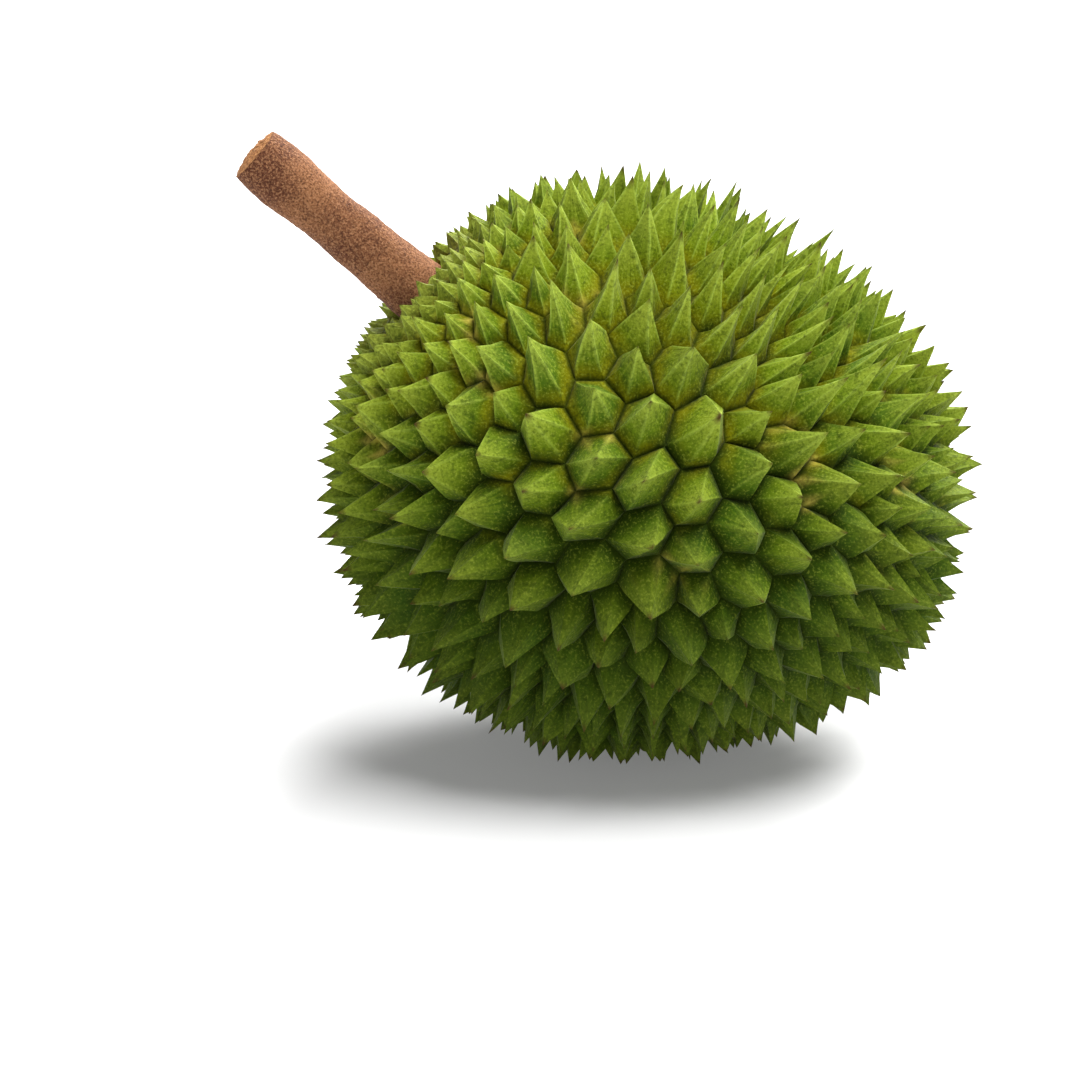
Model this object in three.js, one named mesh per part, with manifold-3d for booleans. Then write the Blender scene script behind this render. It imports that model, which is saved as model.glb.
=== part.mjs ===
// A whole durian, picked with a short length of its stalk and lying on its side, on the few thorns
// under it that its own weight has pressed blunt. Millimetres, +Z up. The origin is on the surface
// that the fruit lies on, under the middle of the whole object's outline.

import * as THREE from "three";
import { ConvexHull } from "three/addons/math/ConvexHull.js";
import { mergeVertices } from "three/addons/utils/BufferGeometryUtils.js";
import Module from "manifold-3d";

const wasm = await Module();
wasm.setup();

// ---- Driving dimensions --------------------------------------------------------------------

// The fruit is modelled with its stalk along its own +Z, and then laid down.
const STALK_RISE = 40.6; // degrees between the stalk and the surface; the stalk leans towards -X

// The rounded outline that the thorn tips reach: its distance from the middle of the fruit, as a
// sum of waves in the angle t from the stalk. END_TO_END[k] * cos(k t) is the same all round.
// SIDE_TO_SIDE[k] * sin(k t) grows towards the fruit's +X side and shrinks on the other.
const END_TO_END = [108.2, 4.9, 2.6, -1.4, -0.7, -1.2];
const SIDE_TO_SIDE = [0, 2.2, -5.5, 2.2];
const LOBES = 5; // one low swelling along each seed chamber; the fruit lies on a hollow between two
const LOBE_SWELL = 1.2;

const THORN_HEIGHT = 15.5;
const UPPER_RISE = 0.32; // share by which the thorns are taller on the fruit's +X side
const END_SHARE = 0.68; // height of the thorns at the end away from the stalk, as a share of that
const END_FROM = 90; // degrees from the stalk, where the thorns begin to get lower
const END_WHOLLY_FROM = 130; // degrees from the stalk, where they have come down to that share
const HEIGHT_SPREAD = 0.24; // tallest less shortest of near neighbours, as a share of the height
const SMALL_BASE_SHARE = 0.3; // power of its base's area by which a small thorn is shorter
const THORN_LEAN = 0.16; // how far a tip may stand off to one side, as a share of its height
const FLANK_SPLAY = 0.42; // the same for the steady lean away from the middle of each flank

const THORN_GAP = 9.2; // usual least distance between the middles of two thorns
const FLANK_GAP = 17; // the same in the middle of each flank, where the thorns are broadest
const FLANK_FROM_STALK = 78; // degrees
const FLANK_TURN = 82; // degrees round the stalk from +X, to either side
const FLANK_EDGE = 68; // degrees from the middle of a flank, where its broad thorns end
const GAP_SPREAD = 0.34; // widest less narrowest least distance, as a share of the usual one
const THORN_SEED = 4; // picks where the thorns stand
const LEAN_SEED = 77; // picks how their heights differ and which way they lean

const SEAT_RADIUS = 13.6; // the flat scar that the stalk grows from
const SEAT_LEVEL = 100; // above the middle of the fruit
const COLLAR_GAP = 4.4; // least distance between the small thorns crowded round the stalk
const COLLAR_HEIGHT = 5.5;
const COLLAR_START = 9; // degrees from the stalk, where the first of them stand
const FULL_GAP_FROM = 42; // degrees from the stalk, where the thorns reach their usual distance
const FULL_HEIGHT_FROM = 50; // degrees from the stalk, where they reach their usual height

const STALK_CLEARANCE = 0.3; // between the scar and the stalk's foot
const STALK_FOOT_RADIUS = 11.9;
// Height above the middle of the fruit, and radius there: shaft, neck, knuckle and cut end.
const STALK_OUTLINE = [
  [110, 11.6],
  [122, 10.9],
  [136, 10.6],
  [148, 10.1],
  [158, 10.9],
  [168, 11.5],
  [176, 10.9],
  [180, 10.2],
];
const STALK_SIDES = 28;
const STALK_RINGS = 16;

const REST_REACH = 18; // thorns this close to the point under the middle of mass carry the fruit
const REST_BLUNT = 3; // length that each of them has lost from its tip
const REST_SPARE = 0.8; // every other tip clears the surface by this much

// ---- Directions, and what the fruit is like in each -----------------------------------------

const { degToRad, lerp, smoothstep } = THREE.MathUtils;
const SKIN_RADIUS = END_TO_END[0] - THORN_HEIGHT; // usual distance of the skin from the middle

// A repeatable stream of numbers from 0 to 1 (mulberry32).
function numberStream(seed) {
  let state = seed;
  return () => {
    state = (state + 0x6d2b79f5) | 0;
    let mixed = Math.imul(state ^ (state >>> 15), 1 | state);
    mixed = (mixed + Math.imul(mixed ^ (mixed >>> 7), 61 | mixed)) ^ mixed;
    return ((mixed ^ (mixed >>> 14)) >>> 0) / 4294967296;
  };
}

// The direction at an angle from the stalk and a turn round it, both in radians.
function directionAt(fromStalk, around) {
  const across = Math.sin(fromStalk);
  return new THREE.Vector3(across * Math.cos(around), across * Math.sin(around), Math.cos(fromStalk));
}

const STALK_WAY = directionAt(0, 0);
const FLANK_WAYS = [FLANK_TURN, -FLANK_TURN].map((turn) =>
  directionAt(degToRad(FLANK_FROM_STALK), degToRad(turn)),
);
const angleFromStalk = (way) => way.angleTo(STALK_WAY);
const turnRoundStalk = (way) => Math.atan2(way.y, way.x);

// 0 up to one angle from the stalk, usually that of the first thorns beside it, and 1 from another
// onwards. Both are in degrees.
function shareOutFromStalk(way, fullFrom, noneTo = COLLAR_START) {
  return smoothstep(angleFromStalk(way), degToRad(noneTo), degToRad(fullFrom));
}

// Least distance between thorns in some direction.
function thornGapAt(way) {
  const fromFlank = Math.min(...FLANK_WAYS.map((flank) => way.angleTo(flank)));
  const full = lerp(FLANK_GAP, THORN_GAP, smoothstep(fromFlank, 0, degToRad(FLANK_EDGE)));
  return lerp(COLLAR_GAP, full, shareOutFromStalk(way, FULL_GAP_FROM));
}

function thornHeightAt(way) {
  const upper = Math.max(0, way.x / way.length());
  const full = THORN_HEIGHT * (1 + UPPER_RISE * upper);
  const lowered = lerp(full, full * END_SHARE, shareOutFromStalk(way, END_WHOLLY_FROM, END_FROM));
  return lerp(COLLAR_HEIGHT, lowered, shareOutFromStalk(way, FULL_HEIGHT_FROM));
}

// The steady lean of a thorn away from the middle of the nearer flank: none at that middle, the
// most half way to the edge of the flank, and none from its edge on.
function splayAt(way) {
  const outward = way.clone().normalize();
  const flank = outward.y > 0 ? FLANK_WAYS[0] : FLANK_WAYS[1];
  const facing = Math.max(0, outward.dot(flank));
  return outward.multiplyScalar(facing).sub(flank).multiplyScalar(2 * FLANK_SPLAY * facing);
}

// Distance from the middle of the fruit to the outline that the tips reach.
function outlineAt(way) {
  const fromStalk = angleFromStalk(way);
  const around = turnRoundStalk(way);
  const evenPart = END_TO_END.reduce((sum, wave, k) => sum + wave * Math.cos(k * fromStalk), 0);
  const sidePart = SIDE_TO_SIDE.reduce((sum, wave, k) => sum + wave * Math.sin(k * fromStalk), 0);
  const lobePart = LOBE_SWELL * Math.cos(LOBES * around) * Math.sin(fromStalk) ** 2;
  return evenPart + Math.cos(around) * sidePart + lobePart;
}

// ---- Where the thorns stand -----------------------------------------------------------------

// Directions of the thorns: thrown at random, but never closer than the least distance, then
// eased apart a little. None stands inside the ring that leaves room for the stalk.
function thornDirections() {
  const THROWS = 40000;
  const EASING_ROUNDS = 4;
  const EASING_REACH = 1.45; // neighbours nearer than this many gaps push each other
  const EASING_STEP = 0.22;
  const ringAngle = degToRad(COLLAR_START);
  const next = numberStream(THORN_SEED);
  const found = [];
  for (let n = 0; n < THROWS; n++) {
    const way = directionAt(Math.acos(2 * next() - 1), 2 * Math.PI * next());
    const gap = (thornGapAt(way) * (1 + GAP_SPREAD * (next() - 0.5))) / SKIN_RADIUS;
    const clear = found.every((other) => other.distanceTo(way) > gap);
    if (clear && angleFromStalk(way) > ringAngle) found.push(way);
  }
  for (let round = 0; round < EASING_ROUNDS; round++) {
    const pushes = found.map((way) => {
      const reach = (EASING_REACH * thornGapAt(way)) / SKIN_RADIUS;
      const push = new THREE.Vector3();
      for (const other of found) {
        const distance = way.distanceTo(other);
        if (distance === 0 || distance > reach) continue;
        push.addScaledVector(way, (reach - distance) / distance);
        push.addScaledVector(other, (distance - reach) / distance);
      }
      return push;
    });
    found.forEach((way, n) => {
      way.addScaledVector(pushes[n], EASING_STEP).normalize();
      way.copy(directionAt(Math.max(angleFromStalk(way), ringAngle), turnRoundStalk(way)));
    });
  }
  return found;
}

// ---- The husk: one pyramid on each many-sided thorn base ------------------------------------

// Every three neighbouring thorns meet at one low point of the skin. corners holds those points,
// and sides one entry for each side of each thorn's base, as [thorn, corner, next corner], turning
// anticlockwise as seen from outside. Thorn 0 is the scar under the stalk.
function thornBases(directions) {
  const hull = new ConvexHull().setFromPoints(directions);
  const thornOf = new Map(directions.map((way, n) => [way, n]));
  const cornerOf = new Map(hull.faces.map((face, n) => [face, n]));
  const corners = [];
  const sides = [];
  for (const face of hull.faces) {
    const edges = [face.edge, face.edge.next, face.edge.next.next];
    const around = edges.map((edge) => edge.head().point);
    const middle = around.reduce((sum, way) => sum.add(way), new THREE.Vector3());
    if (around.includes(directions[0])) {
      const turn = turnRoundStalk(middle.addScaledVector(directions[0], -1));
      const [x, y] = [SEAT_RADIUS * Math.cos(turn), SEAT_RADIUS * Math.sin(turn)];
      corners.push(new THREE.Vector3(x, y, SEAT_LEVEL));
    } else {
      corners.push(middle.setLength(outlineAt(middle) - thornHeightAt(middle)));
    }
    for (const edge of edges) {
      sides.push([thornOf.get(edge.tail().point), cornerOf.get(edge.twin.face), cornerOf.get(face)]);
    }
  }
  return { corners, sides };
}

// The middle of each thorn's base, its outward normal and its area.
function baseFrames(count, corners, sides) {
  const frames = Array.from({ length: count }, () => ({
    foot: new THREE.Vector3(),
    normal: new THREE.Vector3(),
    corners: 0,
  }));
  for (const [thorn, corner] of sides) {
    frames[thorn].foot.add(corners[corner]);
    frames[thorn].corners += 1;
  }
  for (const frame of frames) frame.foot.divideScalar(frame.corners);
  for (const [thorn, corner, following] of sides) {
    const { foot, normal } = frames[thorn];
    const spoke = corners[corner].clone().sub(foot);
    normal.add(spoke.cross(corners[following].clone().sub(foot)));
  }
  for (const frame of frames) {
    frame.area = frame.normal.length() / 2;
    frame.normal.normalize();
  }
  return frames;
}

// Thorn tips, each standing up from the middle of its base and leaning a little at random. A tip
// beside the stalk is held off it.
function thornTips(frames) {
  const USUAL_AREA = 1.46; // of a base, in squares of the least distance between thorns
  const TALLEST = 1.1; // times the usual height there, however wide the base
  const next = numberStream(LEAN_SEED);
  return frames.map(({ foot, normal, area }, n) => {
    if (n === 0) return foot.clone();
    const fromBase = (area / (USUAL_AREA * thornGapAt(foot) ** 2)) ** SMALL_BASE_SHARE;
    const spread = 1 + HEIGHT_SPREAD * (next() - 0.5);
    const height = thornHeightAt(foot) * Math.min(TALLEST, fromBase) * spread;
    const lean = new THREE.Vector3(next() - 0.5, next() - 0.5, next() - 0.5).projectOnPlane(normal);
    const tip = foot.clone().addScaledVector(normal, height);
    tip.addScaledVector(lean, 2 * THORN_LEAN * height).addScaledVector(splayAt(foot), height);
    const splay = Math.max(1, SEAT_RADIUS / Math.hypot(tip.x, tip.y));
    return tip.z > SEAT_LEVEL ? tip.setX(tip.x * splay).setY(tip.y * splay) : tip;
  });
}

// A closed mesh as a solid of manifold-3d, and back.
function toSolid(geometry) {
  const WELD_DISTANCE = 1e-4;
  const bare = geometry.clone();
  bare.deleteAttribute("normal");
  bare.deleteAttribute("uv");
  const merged = mergeVertices(bare, WELD_DISTANCE);
  const vertProperties = merged.getAttribute("position").array;
  const triVerts = new Uint32Array(merged.index.array);
  return new wasm.Manifold(new wasm.Mesh({ numProp: 3, vertProperties, triVerts }));
}

function toGeometry(solid) {
  const { vertProperties, triVerts } = solid.getMesh();
  const geometry = new THREE.BufferGeometry();
  geometry.setAttribute("position", new THREE.BufferAttribute(vertProperties, 3));
  return geometry.setIndex(new THREE.BufferAttribute(triVerts, 1));
}

function pyramids(tips, corners, sides) {
  const faces = sides.map(([thorn, corner, following]) => {
    return [tips[thorn], corners[corner], corners[following]];
  });
  return new THREE.BufferGeometry().setFromPoints(faces.flat());
}

// The middle of mass of a closed mesh of triangles.
function middleOfMass(geometry) {
  const position = geometry.getAttribute("position");
  const middle = new THREE.Vector3();
  let whole = 0;
  for (let n = 0; n < position.count; n += 3) {
    const [a, b, c] = [0, 1, 2].map((k) => new THREE.Vector3().fromBufferAttribute(position, n + k));
    const volume = a.dot(b.clone().cross(c)) / 6;
    middle.addScaledVector(a.add(b).add(c), volume / 4);
    whole += volume;
  }
  return middle.divideScalar(whole);
}

// Settles the fruit on the thorns under its middle of mass, and returns the level of the surface
// that it lies on. Each thorn that carries it reaches REST_BLUNT below that level, ready to be cut
// off flat, and no other tip comes nearer to it than REST_SPARE.
function settleOnThorns(tips, frames, middle, toRow) {
  const inRow = (point) => point.clone().applyMatrix4(toRow);
  const under = inRow(middle);
  const aside = (point) => Math.hypot(inRow(point).x - under.x, inRow(point).y - under.y);
  const carries = (tip) => inRow(tip).z < under.z && aside(tip) < REST_REACH;
  const carrying = tips.map((tip) => carries(tip));
  const levels = tips.filter((tip, n) => carrying[n]).map((tip) => inRow(tip).z);
  const level = levels.reduce((sum, height) => sum + height, 0) / levels.length;
  tips.forEach((tip, n) => {
    if (!carrying[n] && inRow(tip).z >= level + REST_SPARE) return;
    const foot = frames[n].foot;
    const reached = carrying[n] ? level - REST_BLUNT : level + REST_SPARE;
    const stretch = (inRow(foot).z - reached) / (inRow(foot).z - inRow(tip).z);
    tip.sub(foot).multiplyScalar(stretch).add(foot);
  });
  return level;
}

// ---- Assembly -------------------------------------------------------------------------------

const rest = new THREE.Matrix4().makeRotationY(degToRad(STALK_RISE - 90));
const directions = [directionAt(0, 0), ...thornDirections()];
const { corners, sides } = thornBases(directions);
const frames = baseFrames(directions.length, corners, sides);
const tips = thornTips(frames);
const heavyMiddle = middleOfMass(pyramids(tips, corners, sides));
const restLevel = settleOnThorns(tips, frames, heavyMiddle, rest);

// Everything below the surface is cut away, which leaves a small flat on each carrying thorn.
function groundBlock() {
  const SIZE = 400;
  return new THREE.BoxGeometry(SIZE, SIZE, SIZE)
    .translate(0, 0, restLevel - SIZE / 2)
    .applyMatrix4(rest.clone().invert());
}

function huskMesh() {
  const whole = toSolid(pyramids(tips, corners, sides));
  const skin = new THREE.MeshStandardMaterial({ color: 0x6b8a35, roughness: 0.6, metalness: 0 });
  const mesh = new THREE.Mesh(toGeometry(whole.subtract(toSolid(groundBlock()))), skin);
  mesh.name = "husk";
  return mesh;
}

// The stalk is turned round its own axis from a smooth line through its radii.
function stalkMesh() {
  const foot = SEAT_LEVEL + STALK_CLEARANCE;
  const rings = [[foot, STALK_FOOT_RADIUS], ...STALK_OUTLINE];
  const line = rings.map(([height, radius]) => new THREE.Vector2(radius, height));
  const side = new THREE.SplineCurve(line).getPoints(STALK_RINGS);
  const profile = [new THREE.Vector2(0, foot), ...side, new THREE.Vector2(0, side.at(-1).y)];
  const geometry = new THREE.LatheGeometry(profile, STALK_SIDES).rotateX(Math.PI / 2);
  const bark = new THREE.MeshStandardMaterial({ color: 0x7b5541, roughness: 0.9, metalness: 0 });
  const mesh = new THREE.Mesh(geometry, bark);
  mesh.name = "stalk";
  return mesh;
}

const fruit = new THREE.Group();
fruit.add(huskMesh(), stalkMesh());
fruit.setRotationFromMatrix(rest);

const durian = new THREE.Group();
durian.add(fruit);
durian.updateMatrixWorld(true);
const outline = new THREE.Box3().setFromObject(durian, true);
const middle = outline.getCenter(new THREE.Vector3());
fruit.position.set(-middle.x, -middle.y, -restLevel);

export default durian;
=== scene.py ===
# A whole durian lying on its side, with a cut length of its stalk. Metres, +Z up.

from math import atan2, cos, pi, radians, sin
from types import SimpleNamespace

import bpy
import numpy as np
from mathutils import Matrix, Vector


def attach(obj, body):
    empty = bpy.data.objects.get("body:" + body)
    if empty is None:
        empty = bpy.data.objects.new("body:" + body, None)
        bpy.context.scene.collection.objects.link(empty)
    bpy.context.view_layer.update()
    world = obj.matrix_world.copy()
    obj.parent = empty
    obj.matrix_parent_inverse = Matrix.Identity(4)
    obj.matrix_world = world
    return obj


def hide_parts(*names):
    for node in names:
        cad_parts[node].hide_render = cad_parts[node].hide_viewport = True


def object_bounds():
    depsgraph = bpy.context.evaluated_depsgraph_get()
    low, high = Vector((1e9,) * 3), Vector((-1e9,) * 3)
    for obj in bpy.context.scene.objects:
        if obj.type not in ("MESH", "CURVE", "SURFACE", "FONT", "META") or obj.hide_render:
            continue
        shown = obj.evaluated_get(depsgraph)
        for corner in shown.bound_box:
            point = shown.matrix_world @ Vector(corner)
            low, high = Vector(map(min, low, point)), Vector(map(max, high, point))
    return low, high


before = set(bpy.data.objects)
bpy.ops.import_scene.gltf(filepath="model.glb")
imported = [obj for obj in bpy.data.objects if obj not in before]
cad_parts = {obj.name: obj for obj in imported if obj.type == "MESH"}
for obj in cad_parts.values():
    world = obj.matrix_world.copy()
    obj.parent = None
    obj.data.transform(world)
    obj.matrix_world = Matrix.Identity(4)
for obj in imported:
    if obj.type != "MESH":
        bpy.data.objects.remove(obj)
cad_low, cad_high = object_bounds()


# ---- Husk -----------------------------------------------------------------------------------
# The thick green rind, covered all over in woody thorns. Each thorn grew on its own many-sided
# foot, pressed against its neighbours, so that only narrow dark grooves are left between them.
# The thorns under the fruit have been pressed flat by its weight.

MM = 0.001
SAME_CORNER = 0.01 * MM  # corners of the frame's meshes that agree when rounded to this are one
SAME_POINT = 0.001 * MM  # the same for points worked out here
JOINING_ROUNDS = 12  # enough to carry a thorn's number to all of its raised corners

ROWS_OUT = np.array([0, 0.12, 0.42, 0.8, 1.0])  # rows of points on a flank: 0 is the tip, 1 the groove
ON_FLOOR = 0.1 * MM  # a thorn whose tip is lower than this has been pressed flat
PRESSED_OFF = 3 * MM  # how far below the floor its tip would be
HUSK_CREASE = radians(34)  # edges that bend more than this look sharp

HUSK_SEED = 11  # picks how the thorns differ
GEM_FROM = 0.55  # share of a thorn's direction that is across the fruit, where it begins to be a gem
GEM_WHOLLY_FROM = 0.95  # the same, where it is wholly a broad low gem
COLLAR_WHOLLY_TO = 22 * MM  # from the middle of the scar, where the dull collar begins to fade
COLLAR_END = 46 * MM  # where it has gone

POWER = 1.24  # of a slender thorn's profile: 1 is a straight side, and more is a hollow one
GEM_POWER_DROP = 0.16
POWER_SPREAD = 0.12
SHOULDER = 0.05  # share of its height that a slender thorn gains straight above the groove
GEM_SHOULDER = 0.1  # how much more a gem gains there
SHOULDER_SPREAD = 0.06
SHOULDER_POWER = 7
HOOK = 0.15  # most that a slender tip bends aside, as a share of its height
GEM_HOOK_DROP = 0.08
HOOK_POWER = 3
TWIST = 0.35  # four times the usual turn, in radians, of a thorn half way out
SWELL = 0.05  # usual share by which a row of points is wider or narrower
CORNER_POWER = 0.9  # how much more the long corners of a foot stand out towards the tip
BLUNTING = 0.36  # share by which the ridge above a blunt corner is drawn in
BLUNT_WHOLLY_FROM = 0.35  # share of the way up to the tip, where it is drawn in wholly
PINCH = 0.34  # how much the middle of a flank is drawn in, or out on a gem
SLENDER_PINCH = 1.2
GEM_PINCH_DROP = 1.6

RIDGE_WIDTH = 0.6 * MM  # of the pale edge down each ridge, partly wear and partly painted highlight
RIDGE_END_POWER = 8  # the ridge fades just above the groove
BLUNT_RIDGE = 0.25  # how clear the ridge is above a blunt corner
HOLLOW_WIDTH = 2.2 * MM  # of the low places where several thorns meet


def lengths(vectors):
    """The length of each vector in an array."""
    return np.sqrt((vectors ** 2).sum(-1))


def unit(vectors):
    """Each vector divided by its length."""
    return vectors / lengths(vectors)[..., None]


def smooth(values, start, end):
    """0 below start and 1 above end, with the curve 3t^2 - 2t^3 between them."""
    share = np.clip((values - start) / (end - start), 0, 1)
    return share * share * (3 - 2 * share)


def means(values, group):
    """The mean value of each group, where group gives the number of each value's group."""
    totals = np.zeros((group.max() + 1, *values.shape[1:]))
    np.add.at(totals, group, values)
    return (totals.T / np.bincount(group)).T


def merged(places, step):
    """Places that agree when rounded to a step made one: the number of the first corner at each
    place, and for each corner the number of its place."""
    _, first, same = np.unique(np.round(places / step), axis=0, return_index=True, return_inverse=True)
    return first, same.reshape(-1)


def welded(mesh):
    """A mesh's corners with its doubles merged, and its triangles as the numbers of three corners."""
    places = np.empty(len(mesh.vertices) * 3)
    mesh.vertices.foreach_get("co", places)
    places = places.reshape(-1, 3)
    used = np.empty(len(mesh.loops), np.int64)
    mesh.loops.foreach_get("vertex_index", used)
    first, same = merged(places, SAME_CORNER)
    return places[first], same[used].reshape(-1, 3)


def sides_of(triangles):
    """The three sides of each triangle, each from the number of one corner to that of the next."""
    return np.vstack([triangles[:, [0, 1]], triangles[:, [1, 2]], triangles[:, [2, 0]]])


def thorn_flanks(places, triangles):
    """The thorns of a husk. A corner is raised when it is farther from the middle of the fruit than
    the mean of its neighbours. Raised corners that touch belong to one thorn. Each triangle with one
    raised corner is a flank, and those with none are the scar. Gives each thorn's tip, foot and
    height, the foot being the mean of its low corners; the thorn, the near and the far low corner
    of each flank; and both ends of each side of the scar. A thorn pressed flat gets its whole
    length back, because what is under the floor is flattened later."""
    middle = places.mean(0)
    outwards = lengths(places - middle)
    sides = sides_of(triangles)
    links = np.vstack([sides, sides[:, ::-1]])
    raised = outwards > means(outwards[links[:, 1]], links[:, 0])
    touching = links[raised[links].all(1)]
    number = np.arange(len(places))
    for _ in range(JOINING_ROUNDS):
        np.minimum.at(number, touching[:, 0], number[touching[:, 1]])

    flank = triangles[raised[triangles].sum(1) == 1]
    turned = (raised[flank].argmax(1)[:, None] + np.arange(3)) % 3
    flank = np.take_along_axis(flank, turned, 1)
    _, thorn = np.unique(number[flank[:, 0]], return_inverse=True)
    near, far = places[flank[:, 1]], places[flank[:, 2]]
    foot = means(near, thorn)
    tip = means(places[flank[:, 0]], thorn)
    whole = foot + (tip - foot) * (1 + PRESSED_OFF / foot[:, 2:])
    tip = np.where(tip[:, 2:] < ON_FLOOR, whole, tip)

    # A side of the scar is on its rim when none of its triangles has that side the other way round.
    scar = sides_of(triangles[raised[triangles].sum(1) == 0])
    there, back = scar @ (len(places), 1), scar @ (1, len(places))
    return SimpleNamespace(
        middle=middle,
        tip=tip,
        foot=foot,
        height=lengths(tip - foot),
        thorn=thorn,
        near=near,
        far=far,
        corners=flank[:, 1:] + thorn[:, None] * len(places),
        scar=places[scar[~np.isin(there, back)]],
    )


def thorn_kinds(flanks):
    """How the thorns differ. gem is 1 for the broad low ones in the middle of each flank of the
    fruit and 0 for slender ones, and collar is 1 beside the stalk and 0 away from it. The others
    are drawn at random about their usual values."""
    draw = np.random.default_rng(HUSK_SEED)
    count = len(flanks.foot)
    across_fruit = unit(flanks.foot - flanks.middle)[:, 1]
    gem = smooth(np.abs(across_fruit), GEM_FROM, GEM_WHOLLY_FROM)
    power = POWER - GEM_POWER_DROP * gem + POWER_SPREAD * (draw.random(count) - 0.5)
    shoulder = SHOULDER + GEM_SHOULDER * gem + SHOULDER_SPREAD * draw.random(count)
    aside = unit(draw.normal(size=(count, 3)))
    bend = flanks.height * (HOOK - GEM_HOOK_DROP * gem) * draw.random(count)
    twist = TWIST * draw.normal(size=count)
    tone = draw.random(count)
    swell = 1 + SWELL * draw.normal(size=(count, len(ROWS_OUT)))
    swell[:, -1] = 1
    from_scar = lengths(flanks.foot - flanks.scar[:, 0].mean(0))
    collar = 1 - smooth(from_scar, COLLAR_WHOLLY_TO, COLLAR_END)
    return SimpleNamespace(
        gem=gem,
        power=power,
        shoulder=shoulder,
        hook=aside * bend[:, None],
        twist=twist,
        tone=tone,
        swell=swell,
        collar=collar,
    )


def blunt_corners(near_reach, far_reach, corners):
    """Whether the near and the far low corner of each flank reach less far out than both of their
    neighbours on the same thorn. Sorting the flanks by their near corner, and again by their far
    corner, pairs up the two flanks that share each corner."""
    by_near = np.argsort(corners[:, 0])
    by_far = np.argsort(corners[:, 1])
    before = np.empty_like(near_reach)
    before[by_near] = near_reach[by_far]
    near_blunt = near_reach < np.minimum(before, far_reach)
    far_blunt = np.empty_like(near_blunt)
    far_blunt[by_far] = near_blunt[by_near]
    return near_blunt, far_blunt


def grid_on_triangle(rows):
    """A triangle split into rows squared small ones, where row n has n + 1 points. Gives each
    point's row and its share of the way along that row, and the small triangles."""
    row, step = np.tril_indices(rows + 1)
    point = np.arange(len(row))
    below = point + row + 1
    up = np.stack([point, below, below + 1], 1)[row < rows]
    down = np.stack([point, below + 1, point + 1], 1)[(row < rows) & (step < row)]
    return row, step / np.maximum(row, 1), np.vstack([up, down])


def flank_points(flanks, kinds, row, along):
    """The points of every flank, for each share out of the way from the tip to the groove and each
    share along the groove. With rise = 1 - out, a point lies at
    foot + out * (near arm * (1 - along) + far arm * along) + lift * (tip - foot) + hook * rise^3,
    where lift = (1 - shoulder) * rise^power + shoulder * (1 - out^7), and an arm goes from the foot
    to a low corner. On the way up to the tip, an arm grows by its length over the usual one to the
    power 0.9 rise, and the arms to blunt corners shrink. The middle of the flank is drawn in by a
    share of out * rise, each row swells or shrinks a little, and the thorn is turned about its axis
    by twist * out * rise. Gives whether the near and the far corner of each flank are blunt too."""
    thorn = flanks.thorn
    out = ROWS_OUT[row]
    rise = 1 - out
    gem = kinds.gem[thorn][:, None]
    foot = flanks.foot[thorn]
    arms = flanks.near - foot, flanks.far - foot
    reaches = lengths(arms[0]), lengths(arms[1])
    usual = means(reaches[0], thorn)[thorn]
    blunt = blunt_corners(*reaches, flanks.corners)
    across = 0
    for arm, reach, dull, share in zip(arms, reaches, blunt, (1 - along, along)):
        drawn = (reach / usual)[:, None] ** (CORNER_POWER * rise)
        drawn = drawn * (1 - BLUNTING * dull[:, None] * smooth(rise, 0, BLUNT_WHOLLY_FROM))
        across = across + arm[:, None] * (drawn * share)[..., None]

    mid_flank = along * (1 - along) * 4
    pinch = 1 - PINCH * mid_flank * (out * rise) * (SLENDER_PINCH - GEM_PINCH_DROP * gem)
    across = across * (out * kinds.swell[thorn][:, row] * pinch)[..., None]
    axis = unit(flanks.tip - flanks.foot)[thorn][:, None]
    turn = (kinds.twist[thorn][:, None] * rise * out)[..., None]
    across = across * np.cos(turn) + np.cross(axis, across) * np.sin(turn)

    shoulder = kinds.shoulder[thorn][:, None]
    lift = (1 - shoulder) * rise ** kinds.power[thorn][:, None]
    lift = lift + shoulder * (1 - out ** SHOULDER_POWER)
    points = foot[:, None] + across + (flanks.tip - flanks.foot)[thorn][:, None] * lift[..., None]
    points = points + kinds.hook[thorn][:, None] * (rise ** HOOK_POWER)[:, None]
    return points, blunt


def flank_marks(flanks, kinds, blunt, row, along):
    """What the husk's colours follow at every point of every flank: gem, collar and tone of its
    thorn, its rise towards the tip, and how close it is to a ridge and to a low corner. Both of
    the last are e^-(distance / width)^2."""
    thorn = flanks.thorn
    out = ROWS_OUT[row]
    side = lengths(flanks.far - flanks.near)[:, None]
    from_corner = np.minimum(along, 1 - along) * side
    from_low_place = from_corner + 0.5 * flanks.height[thorn][:, None] * (1 - out)
    sharp = np.where(along < 0.5, ~blunt[0][:, None], ~blunt[1][:, None])
    ridge = np.exp(-((from_corner * out / RIDGE_WIDTH) ** 2)) * (1 - out ** RIDGE_END_POWER)
    marks = {
        "gem": kinds.gem[thorn][:, None],
        "collar": kinds.collar[thorn][:, None],
        "tone": kinds.tone[thorn][:, None],
        "rise": 1 - out,
        "ridge": ridge * (BLUNT_RIDGE + (1 - BLUNT_RIDGE) * sharp),
        "hollow": np.exp(-((from_low_place / HOLLOW_WIDTH) ** 2)),
    }
    return {title: np.broadcast_to(values, sharp.shape) for title, values in marks.items()}


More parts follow.
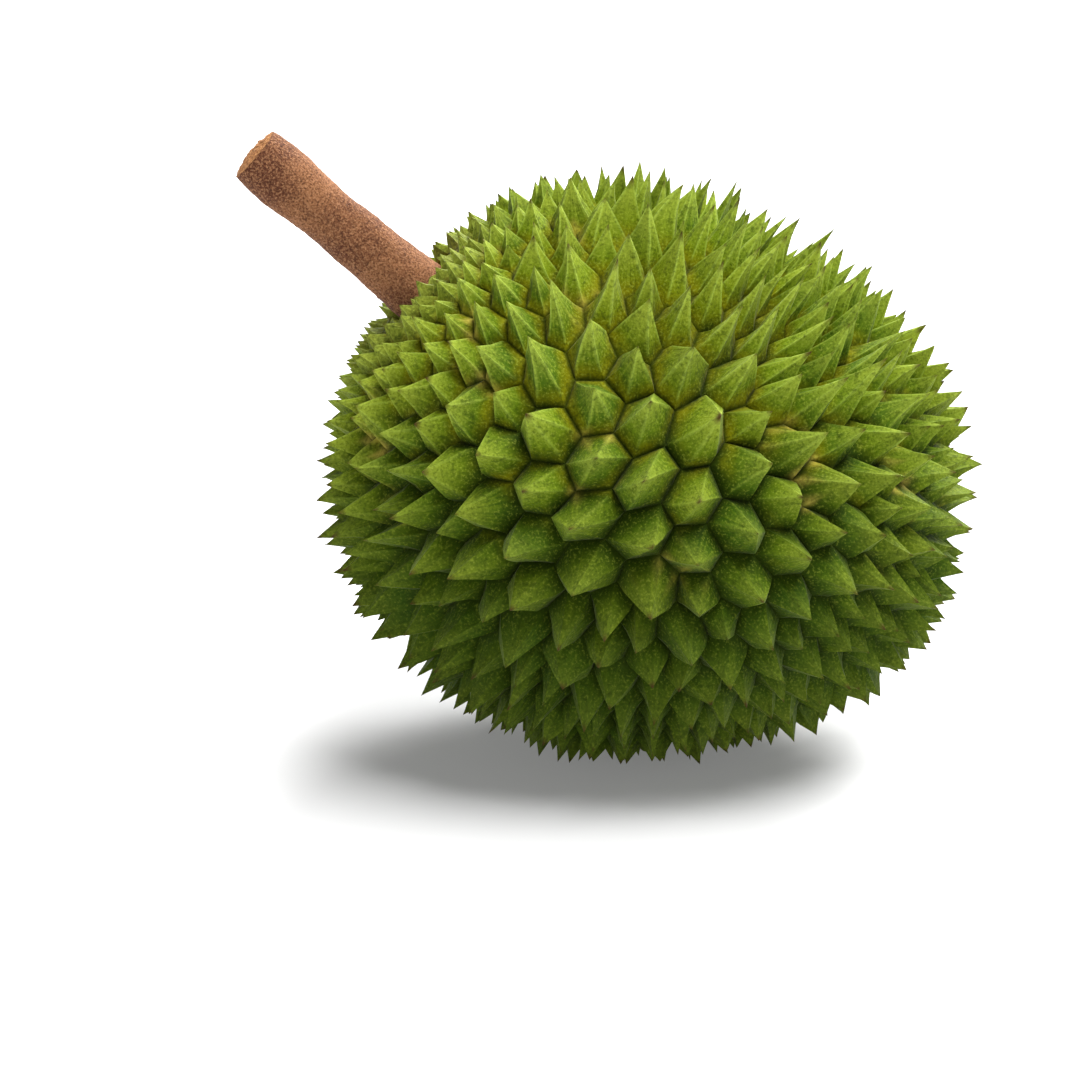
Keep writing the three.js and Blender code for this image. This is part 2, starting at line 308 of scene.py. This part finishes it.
def husk_surface():
    """Every flank as a small curved grid, and the scar as a fan of triangles from its middle to
    as many points on each side as a flank has in its last row. Shared points are made one. Each
    point also gets foot, the place on the groove straight below it."""
    flanks = thorn_flanks(*welded(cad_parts["husk"].data))
    kinds = thorn_kinds(flanks)
    row, along, cells = grid_on_triangle(len(ROWS_OUT) - 1)
    points, blunt = flank_points(flanks, kinds, row, along)
    marks = flank_marks(flanks, kinds, blunt, row, along)
    share = along[:, None]
    groove = flanks.near[:, None] * (1 - share) + flanks.far[:, None] * share

    steps = np.linspace(0, 1, len(ROWS_OUT))[:, None]
    rim = flanks.scar[:, :1] * (1 - steps) + flanks.scar[:, 1:] * steps
    scar_middle = np.broadcast_to(flanks.scar[:, 0].mean(0), rim[:, 1:].shape)
    scar = np.stack([scar_middle, rim[:, :-1], rim[:, 1:]], 2).reshape(-1, 3)

    places = np.vstack([points.reshape(-1, 3), scar])
    first_of_flank = np.arange(len(points))[:, None, None] * len(row)
    scar_faces = points.shape[0] * len(row) + np.arange(len(scar)).reshape(-1, 3)
    faces = np.vstack([(first_of_flank + cells).reshape(-1, 3), scar_faces])
    first, same = merged(places, SAME_POINT)
    none_on_scar = np.zeros(len(scar))
    numbers = {
        title: np.append(values.reshape(-1), none_on_scar)[first]
        for title, values in marks.items()
    }
    feet = np.vstack([groove.reshape(-1, 3), scar])[first]
    return np.clip(places[first], cad_low, cad_high), same[faces], numbers, {"foot": feet}


def mesh_object(name, places, faces, numbers=None, vectors=None, crease=None):
    """A new object from arrays of corners and faces, with its per-corner numbers and vectors, and
    smooth but for the edges that bend more than crease."""
    mesh = bpy.data.meshes.new(name)
    mesh.from_pydata(places.tolist(), [], faces.tolist())
    for title, values in (numbers or {}).items():
        mesh.attributes.new(title, "FLOAT", "POINT").data.foreach_set("value", np.ravel(values))
    for title, values in (vectors or {}).items():
        mesh.attributes.new(title, "FLOAT_VECTOR", "POINT").data.foreach_set("vector", np.ravel(values))
    mesh.validate()
    if crease is not None:
        mesh.shade_smooth()
        mesh.set_sharp_from_angle(angle=crease)
    made = bpy.data.objects.new(name, mesh)
    bpy.context.scene.collection.objects.link(made)
    return made


class Wire:
    """A value in a material. Sums written on it add the Math nodes that work them out."""

    def __init__(self, finish, socket):
        self.finish = finish
        self.socket = socket

    def sum(self, operation, first, second):
        return self.finish.node("ShaderNodeMath", {"operation": operation}, {0: first, 1: second})

    def __add__(self, other):
        return self.sum("ADD", self, other)

    def __sub__(self, other):
        return self.sum("SUBTRACT", self, other)

    def __rsub__(self, other):
        return self.sum("SUBTRACT", other, self)

    def __mul__(self, other):
        return self.sum("MULTIPLY", self, other)

    __radd__ = __add__
    __rmul__ = __mul__


class Finish:
    """A material, or the surroundings, and the nodes that make it up."""

    def __init__(self, owner, shader="Principled BSDF"):
        self.owner = owner
        owner.use_nodes = True
        self.tree = owner.node_tree
        self.shader = self.tree.nodes[shader]

    def plug(self, socket, value):
        """Links a wire to a socket, or sets the socket's own value."""
        if isinstance(value, Wire):
            self.tree.links.new(value.socket, socket)
        elif socket.type == "RGBA":
            socket.default_value = (*value, 1)
        else:
            socket.default_value = value

    def node(self, kind, settings=None, inputs=None, output=0):
        """A new node of any kind, as the wire from one of its outputs."""
        made = self.tree.nodes.new(kind)
        for setting, value in (settings or {}).items():
            setattr(made, setting, value)
        for name, value in (inputs or {}).items():
            self.plug(made.inputs[name], value)
        return Wire(self, made.outputs[output])

    def attribute(self, name, output="Fac"):
        return self.node("ShaderNodeAttribute", {"attribute_name": name}, output=output)

    def place(self):
        return self.node("ShaderNodeTexCoord", output="Object")

    def height_of(self, vector):
        return self.node("ShaderNodeSeparateXYZ", {}, {"Vector": vector}, "Z")

    def noise(self, where, size, detail=3.0, roughness=0.5):
        """Soft noise whose lumps are about size metres across."""
        inputs = {"Vector": where, "Scale": 0.5 / size, "Detail": detail, "Roughness": roughness}
        return self.node("ShaderNodeTexNoise", {}, inputs)

    def between(self, value, start, end):
        """0 where value is at start, 1 where it is at end, and smooth between."""
        settings = {"interpolation_type": "SMOOTHSTEP"}
        inputs = {"Value": value, "From Min": start, "From Max": end}
        return self.node("ShaderNodeMapRange", settings, inputs)

    def mix(self, share, colour, other):
        return self.node("ShaderNodeMix", {"data_type": "RGBA"}, {0: share, 6: colour, 7: other}, 2)

    def layered(self, colour, layers):
        """A colour with layers over it, each given as where it lies, how strong it is, its colour."""
        for where, strength, other in layers:
            colour = self.mix(where * strength, colour, other)
        return colour

    def bump(self, height, distance, strength):
        inputs = {"Height": height, "Distance": distance, "Strength": strength}
        return self.node("ShaderNodeBump", {}, inputs)

    def set(self, **values):
        """Sets or links sockets of the shader, whose names have a _ for each space."""
        for name, value in values.items():
            self.plug(self.shader.inputs[name.replace("_", " ")], value)


def rgb(red, green, blue):
    """A colour given as it looks on a screen, 0 to 255, as the light it stands for."""
    parts = np.array([red, green, blue]) / 255.0
    light = np.where(parts <= 0.04045, parts / 12.92, ((parts + 0.055) / 1.055) ** 2.4)
    return tuple(float(part) for part in light)


DEEP_GREEN = rgb(60, 92, 6)
LEAF_GREEN = rgb(98, 122, 10)
OLIVE = rgb(112, 122, 10)
# painted shade: the dark green that darkens the underside of the fruit
UNDERSIDE_SHADE_GREEN = rgb(34, 58, 5)
STREAK_GREEN = rgb(138, 156, 36)
TIP_GREEN = rgb(164, 180, 66)
# the thorns' bases: a dark green painted as shade, and the yellow-olive they turn on top, where lit
BASE_SHADE_GREEN = rgb(36, 54, 2)
LOW_YELLOW = rgb(116, 114, 3)
# pale ridge edges: partly wear, partly a painted highlight, shown only higher up
RIDGE_WEAR_AND_HIGHLIGHT = rgb(164, 186, 76)
RIPE_YELLOW = rgb(196, 176, 80)
COLLAR_OLIVE = rgb(104, 106, 44)
MOTTLE_GREEN = rgb(44, 60, 6)
DARK_GRAIN = rgb(38, 50, 4)
PALE_GRAIN = rgb(166, 178, 66)
# painted shade in the grooves between the thorns
GROOVE_SHADE_GREEN = rgb(32, 46, 2)
DRIED_BROWN = rgb(70, 54, 24)
SHADED_TO = 50 * MM  # above the floor, where the painted shade of the underside begins to fade
LIT_FROM = 180 * MM  # where it has gone


def husk_finish():
    """Matt green rind. Its layers go from the widest changes of colour to the finest, and last come
    the grooves, painted dark as shade, and the dried tips. level is the height above the floor, and
    upper is 0 under the fruit and 1 on top: it paints shade on the underside and light on top."""
    skin = Finish(bpy.data.materials.new("durian_husk"))
    where = skin.place()
    level = skin.height_of(where)
    # upper paints light and shade: the underside is darkened as shade and the top is made paler as if
    # lit
    upper = skin.between(level, SHADED_TO, LIT_FROM)
    rise = skin.attribute("rise")
    tone = skin.attribute("tone")
    ridge = skin.between(skin.attribute("ridge"), 0.45, 1.0)
    broad = skin.noise(where, 26 * MM, detail=2.0)
    ripe = skin.between(skin.noise(where, 14 * MM, detail=2.0), 0.56, 0.7)
    patch = skin.noise(where, 6 * MM)
    mottle = skin.noise(where, 1.3 * MM, roughness=0.6)
    streak = skin.noise(skin.attribute("foot", "Vector"), 0.8 * MM, detail=2.0)
    grain = skin.noise(where, 0.45 * MM, detail=2.0, roughness=0.6)
    # where the grooves are painted dark as shade
    groove = (1 - skin.between(rise, 0.0, 0.1)) * (0.8 + 0.2 * skin.attribute("gem"))

    by_thorn = skin.mix(skin.between(tone + 0.8 * patch, 0.5, 1.3), DEEP_GREEN, LEAF_GREEN)
    # thorn bases painted dark as shade underneath, turning yellow-olive on top where lit
    base_shade_and_yellow = skin.mix(skin.between(patch + 0.6 * upper, 0.72, 1.15), BASE_SHADE_GREEN, LOW_YELLOW)
    face = skin.layered(by_thorn, [
        (skin.between(broad, 0.38, 0.66), 0.6, OLIVE),
        # painted shade on the underside
        (1 - upper, 0.85, UNDERSIDE_SHADE_GREEN),
        # painted light: the streaks and the pale tips grow stronger towards the top
        (skin.between(streak, 0.4, 0.75), 0.1 + 0.28 * upper, STREAK_GREEN),
        ((0.25 + 0.75 * upper) * skin.between(rise, 0.2, 0.9), 0.5, TIP_GREEN),
        # the thorn bases, painted dark as shade below and yellow-olive above
        (1 - skin.between(rise, 0.02, 0.36), 1.0, base_shade_and_yellow),
        # worn ridges with a painted highlight, only higher up on the fruit
        (ridge * skin.between(level, 0.08, 0.2), 0.62, RIDGE_WEAR_AND_HIGHLIGHT),
        (skin.attribute("hollow") * ripe * skin.between(level, 0.07, 0.12), 0.8, RIPE_YELLOW),
        (skin.attribute("collar"), 0.55, COLLAR_OLIVE),
        (skin.between(mottle, 0.5, 0.7), 0.5, MOTTLE_GREEN),
        (skin.between(grain, 0.5, 0.72), 0.45, DARK_GRAIN),
        # painted light: the pale grain grows stronger towards the top
        (skin.between(grain, 0.48, 0.3), 0.16 + 0.2 * upper, PALE_GRAIN),
        # painted shade in the grooves
        (groove, 0.85, GROOVE_SHADE_GREEN),
        (skin.between(rise + 0.14 * patch + 0.1 * tone, 0.96, 1.16), 1.0, DRIED_BROWN),
    ])
    relief = 0.35 * grain + 0.5 * streak + 0.6 * mottle
    skin.set(
        Base_Color=face,
        Roughness=0.56 + 0.16 * patch,
        Specular_IOR_Level=0.05,
        Sheen_Weight=0.06,
        Sheen_Roughness=0.4,
        Sheen_Tint=(1.0, 1.0, 0.7),
        Normal=skin.bump(relief, distance=0.6 * MM, strength=0.8),
    )
    return skin.owner


husk = mesh_object("husk_thorns", *husk_surface(), crease=HUSK_CREASE)
husk.data.materials.append(husk_finish())
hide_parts("husk")
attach(husk, "root")


# ---- Stalk ----------------------------------------------------------------------------------
# The woody stalk, cut through a hand's breadth above the fruit. Its bark is brown and finely
# granular; the cut shows pale fibrous wood. It grows from the flat scar at the fruit's end.

STALK_ROWS = 150
STALK_SIDES = 120
CAP_ROWS = 14  # rings that shrink to a point at each end
STALK_SEED = 5
SAME_RING = 0.1 * MM  # corners of the frame's stalk at the same height, rounded to this, are a ring
STALK_CREASE = radians(60)

LUMP_DEPTH = 0.55 * MM
GRAIN_DEPTH = 0.4 * MM
CUT_BULGE = 1.9 * MM  # the cut is a little domed, and the saw has left it ragged
CUT_RAGGED = 1.1 * MM
CUT_EDGE = 0.5 * MM  # depth below the cut over which its shape fades out
FOOT_FADE = 0.25  # share of the foot's radius, from its middle, where the bark's hollows fade out


def waves(draw, where, count, shortest, longest):
    """Lumpy noise about a half, nearly all of it between 0 and 1: a half plus the mean of count sine
    waves of random direction and length, taken at places given in metres."""
    ways = unit(draw.normal(size=(count, 3)))
    sizes = draw.uniform(shortest, longest, count)
    phases = draw.uniform(0, 2 * pi, count)
    return 0.5 + np.sin(where @ (ways / sizes[:, None]).T * 2 * pi + phases).mean(-1)


def stalk_surface():
    """Rings along the stalk's axis, each as wide as the frame's stalk is there, less the bark's
    hollows, and closed by rings that shrink to a point at the foot and over the cut. Gives the
    points, the triangles, where the cut is, and the axis."""
    places, _ = welded(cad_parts["stalk"].data)
    middle = places.mean(0)
    axis = np.linalg.svd(places - middle)[2][0]
    axis = axis * np.sign(axis[2])
    along = (places - middle) @ axis
    radius = lengths(places - middle - along[:, None] * axis)
    _, ring = np.unique(np.round(along / SAME_RING), return_inverse=True)
    level = means(along, ring)
    widest = np.zeros(len(level))
    np.maximum.at(widest, ring, radius)
    right = unit(np.cross(axis, [0, 1, 0.0]))
    front = np.cross(axis, right)

    foot, end = level.min(), level.max()
    heights = np.linspace(foot, end, STALK_ROWS)
    sizes = np.interp(heights, level, widest)
    inwards = np.linspace(1, 0, CAP_ROWS + 1)[1:]
    heights = np.concatenate([np.full(CAP_ROWS, foot), heights, np.full(CAP_ROWS, end)])
    sizes = np.concatenate([sizes[0] * inwards[::-1], sizes, sizes[-1] * inwards])
    to_middle = np.concatenate([np.zeros(CAP_ROWS + STALK_ROWS), 1 - inwards])
    on_cut = np.concatenate([np.zeros(CAP_ROWS + STALK_ROWS - 1), np.ones(CAP_ROWS + 1)])

    around = np.arange(STALK_SIDES) * 2 * pi / STALK_SIDES
    spoke = right * np.cos(around)[:, None] + front * np.sin(around)[:, None]
    points = middle + heights[:, None, None] * axis + sizes[:, None, None] * spoke
    draw = np.random.default_rng(STALK_SEED)
    lumps = waves(draw, points, count=24, shortest=5 * MM, longest=14 * MM)
    grains = waves(draw, points, count=40, shortest=1.2 * MM, longest=2.6 * MM)
    bark = np.minimum(sizes / sizes.max() / FOOT_FADE, 1) * (1 - on_cut)
    hollow = (LUMP_DEPTH * lumps + GRAIN_DEPTH * grains) * bark[:, None]
    points = points - spoke * hollow[..., None]
    ragged = waves(draw, points, count=30, shortest=1.6 * MM, longest=4 * MM)
    dome = CUT_BULGE * (1 - (1 - to_middle) ** 2)[:, None] - CUT_RAGGED * ragged * on_cut[:, None]
    at_end = 1 - smooth(end - heights, 0, CUT_EDGE)
    points = points + axis * (dome * at_end[:, None])[..., None]

    # The first and the last ring are one point each, so the triangles that lie within them go.
    corner = np.arange(len(heights) * STALK_SIDES).reshape(-1, STALK_SIDES)
    corner[[0, -1]] = corner[[0, -1], :1]
    beside = np.roll(corner, -1, 1)
    lower = np.stack([corner[:-1], beside[:-1], beside[1:]], -1)[1:]
    upper = np.stack([corner[:-1], beside[1:], corner[1:]], -1)[:-1]
    triangles = np.vstack([lower.reshape(-1, 3), upper.reshape(-1, 3)])
    used, faces = np.unique(triangles, return_inverse=True)
    return points.reshape(-1, 3)[used], faces.reshape(-1, 3), np.repeat(on_cut, STALK_SIDES)[used], axis


DARK_BARK = rgb(86, 46, 27)
PALE_BARK = rgb(136, 90, 58)
FIBRE_BROWN = rgb(80, 46, 28)
FLECK_TAN = rgb(172, 122, 84)
PIT_BROWN = rgb(62, 34, 20)
GRAIN_TAN = rgb(182, 138, 100)
PALE_WOOD = rgb(190, 136, 86)
DARK_WOOD = rgb(120, 72, 42)
FIBRE_STRETCH = 0.16  # across over along


def bark_finish(axis):
    """Rough brown bark, with fibres drawn out along the stalk's axis, and paler wood on the cut."""
    bark = Finish(bpy.data.materials.new("durian_stalk"))
    where = bark.place()
    lean = (0.0, atan2(-axis[0], axis[2]), 0.0)
    upright = bark.node("ShaderNodeMapping", {}, {"Vector": where, "Rotation": lean})
    drawn = bark.node("ShaderNodeMapping", {}, {"Vector": upright, "Scale": (1.0, 1.0, FIBRE_STRETCH)})
    patch = bark.noise(where, 12 * MM)
    fibre = bark.noise(drawn, 1.1 * MM, roughness=0.6)
    fleck = bark.noise(where, 0.45 * MM, roughness=0.65)
    grain = bark.noise(where, 0.34 * MM, detail=2.0, roughness=0.6)
    by_patch = bark.mix(bark.between(patch, 0.36, 0.64), DARK_BARK, PALE_BARK)
    wood = bark.mix(bark.between(fleck, 0.35, 0.7), PALE_WOOD, DARK_WOOD)
    colour = bark.layered(by_patch, [
        (bark.between(fibre, 0.5, 0.7), 0.35, FIBRE_BROWN),
        (bark.between(fleck, 0.46, 0.62), 0.55, FLECK_TAN),
        (bark.between(grain, 0.5, 0.64), 0.7, PIT_BROWN),
        (bark.between(grain, 0.46, 0.3), 0.4, GRAIN_TAN),
        (bark.attribute("cut"), 1.0, wood),
    ])
    relief = grain * 0.7 + fibre * 0.4 + fleck * 0.7
    bark.set(
        Base_Color=colour,
        Roughness=0.76 + 0.14 * fleck,
        Specular_IOR_Level=0.2,
        Normal=bark.bump(relief, distance=0.7 * MM, strength=0.9),
    )
    return bark.owner


stalk_points, stalk_faces, stalk_cut, stalk_axis = stalk_surface()
stalk = mesh_object("stalk_wood", stalk_points, stalk_faces, {"cut": stalk_cut}, crease=STALK_CREASE)
stalk.data.materials.append(bark_finish(stalk_axis))
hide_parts("stalk")
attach(stalk, "root")


# ---- Floor, light and camera -----------------------------------------------------------------
# A plain pale floor under soft studio light, seen from the front and a little above. The floor
# glows a little, so that the shadow on it stays soft and pale.

FLOOR_SIDE = 8.0
FLOOR_COLOUR = (0.6, 0.6, 0.6)
FLOOR_GLOW = 0.16
WALL_LIGHT = (1.0, 1.0, 1.0)
CEILING_LIGHT = (0.12, 0.12, 0.12)
WALLS_TO = 0.12  # sine of the angle above level where the walls begin to darken into the ceiling
CEILING_FROM = 0.5  # sine of the angle where they have

SENSOR_WIDTH = 36  # in millimetres, as cameras have it
VIEW_RISE = radians(16)
VIEW_DISTANCE = 1.6
VIEW_WIDTH = 0.3758  # of what the camera sees at that distance
AIM = Vector((-0.0243, 0, 0.0737))

corners = np.array([[-1, -1, 0], [1, -1, 0], [1, 1, 0], [-1, 1, 0]]) * FLOOR_SIDE / 2
floor = mesh_object("floor", corners, np.array([[0, 1, 2, 3]]))
ground = Finish(bpy.data.materials.new("floor_paint"))
ground.set(
    Base_Color=FLOOR_COLOUR,
    Roughness=0.9,
    Specular_IOR_Level=0.1,
    Emission_Color=(1.0, 1.0, 1.0),
    Emission_Strength=FLOOR_GLOW,
)
floor.data.materials.append(ground.owner)

studio = Finish(bpy.data.worlds.new("studio"), "Background")
upward = studio.height_of(studio.node("ShaderNodeTexCoord", output="Generated"))
studio.set(Color=studio.mix(studio.between(upward, WALLS_TO, CEILING_FROM), WALL_LIGHT, CEILING_LIGHT))
bpy.context.scene.world = studio.owner


def lamp(name, place, size, energy):
    """A square soft light that faces the fruit."""
    light = bpy.data.lights.new(name, "AREA")
    light.size = size
    light.energy = energy
    made = bpy.data.objects.new(name, light)
    made.location = place
    made.rotation_euler = (AIM - made.location).to_track_quat("-Z", "Y").to_euler()
    bpy.context.scene.collection.objects.link(made)


lamp("key", place=(2.0, -1.2, 7.2), size=5.0, energy=980)
lamp("back", place=(2.6, 5.0, 4.6), size=4.0, energy=1120)

lens = bpy.data.cameras.new("camera")
lens.sensor_width = SENSOR_WIDTH
lens.lens = SENSOR_WIDTH * VIEW_DISTANCE / VIEW_WIDTH
camera = bpy.data.objects.new("camera", lens)
view = Vector((0, -cos(VIEW_RISE), sin(VIEW_RISE)))
camera.location = AIM + view * VIEW_DISTANCE
camera.rotation_euler = (-view).to_track_quat("-Z", "Y").to_euler()
bpy.context.scene.collection.objects.link(camera)
bpy.context.scene.camera = camera
bpy.context.scene.view_settings.view_transform = "Standard"
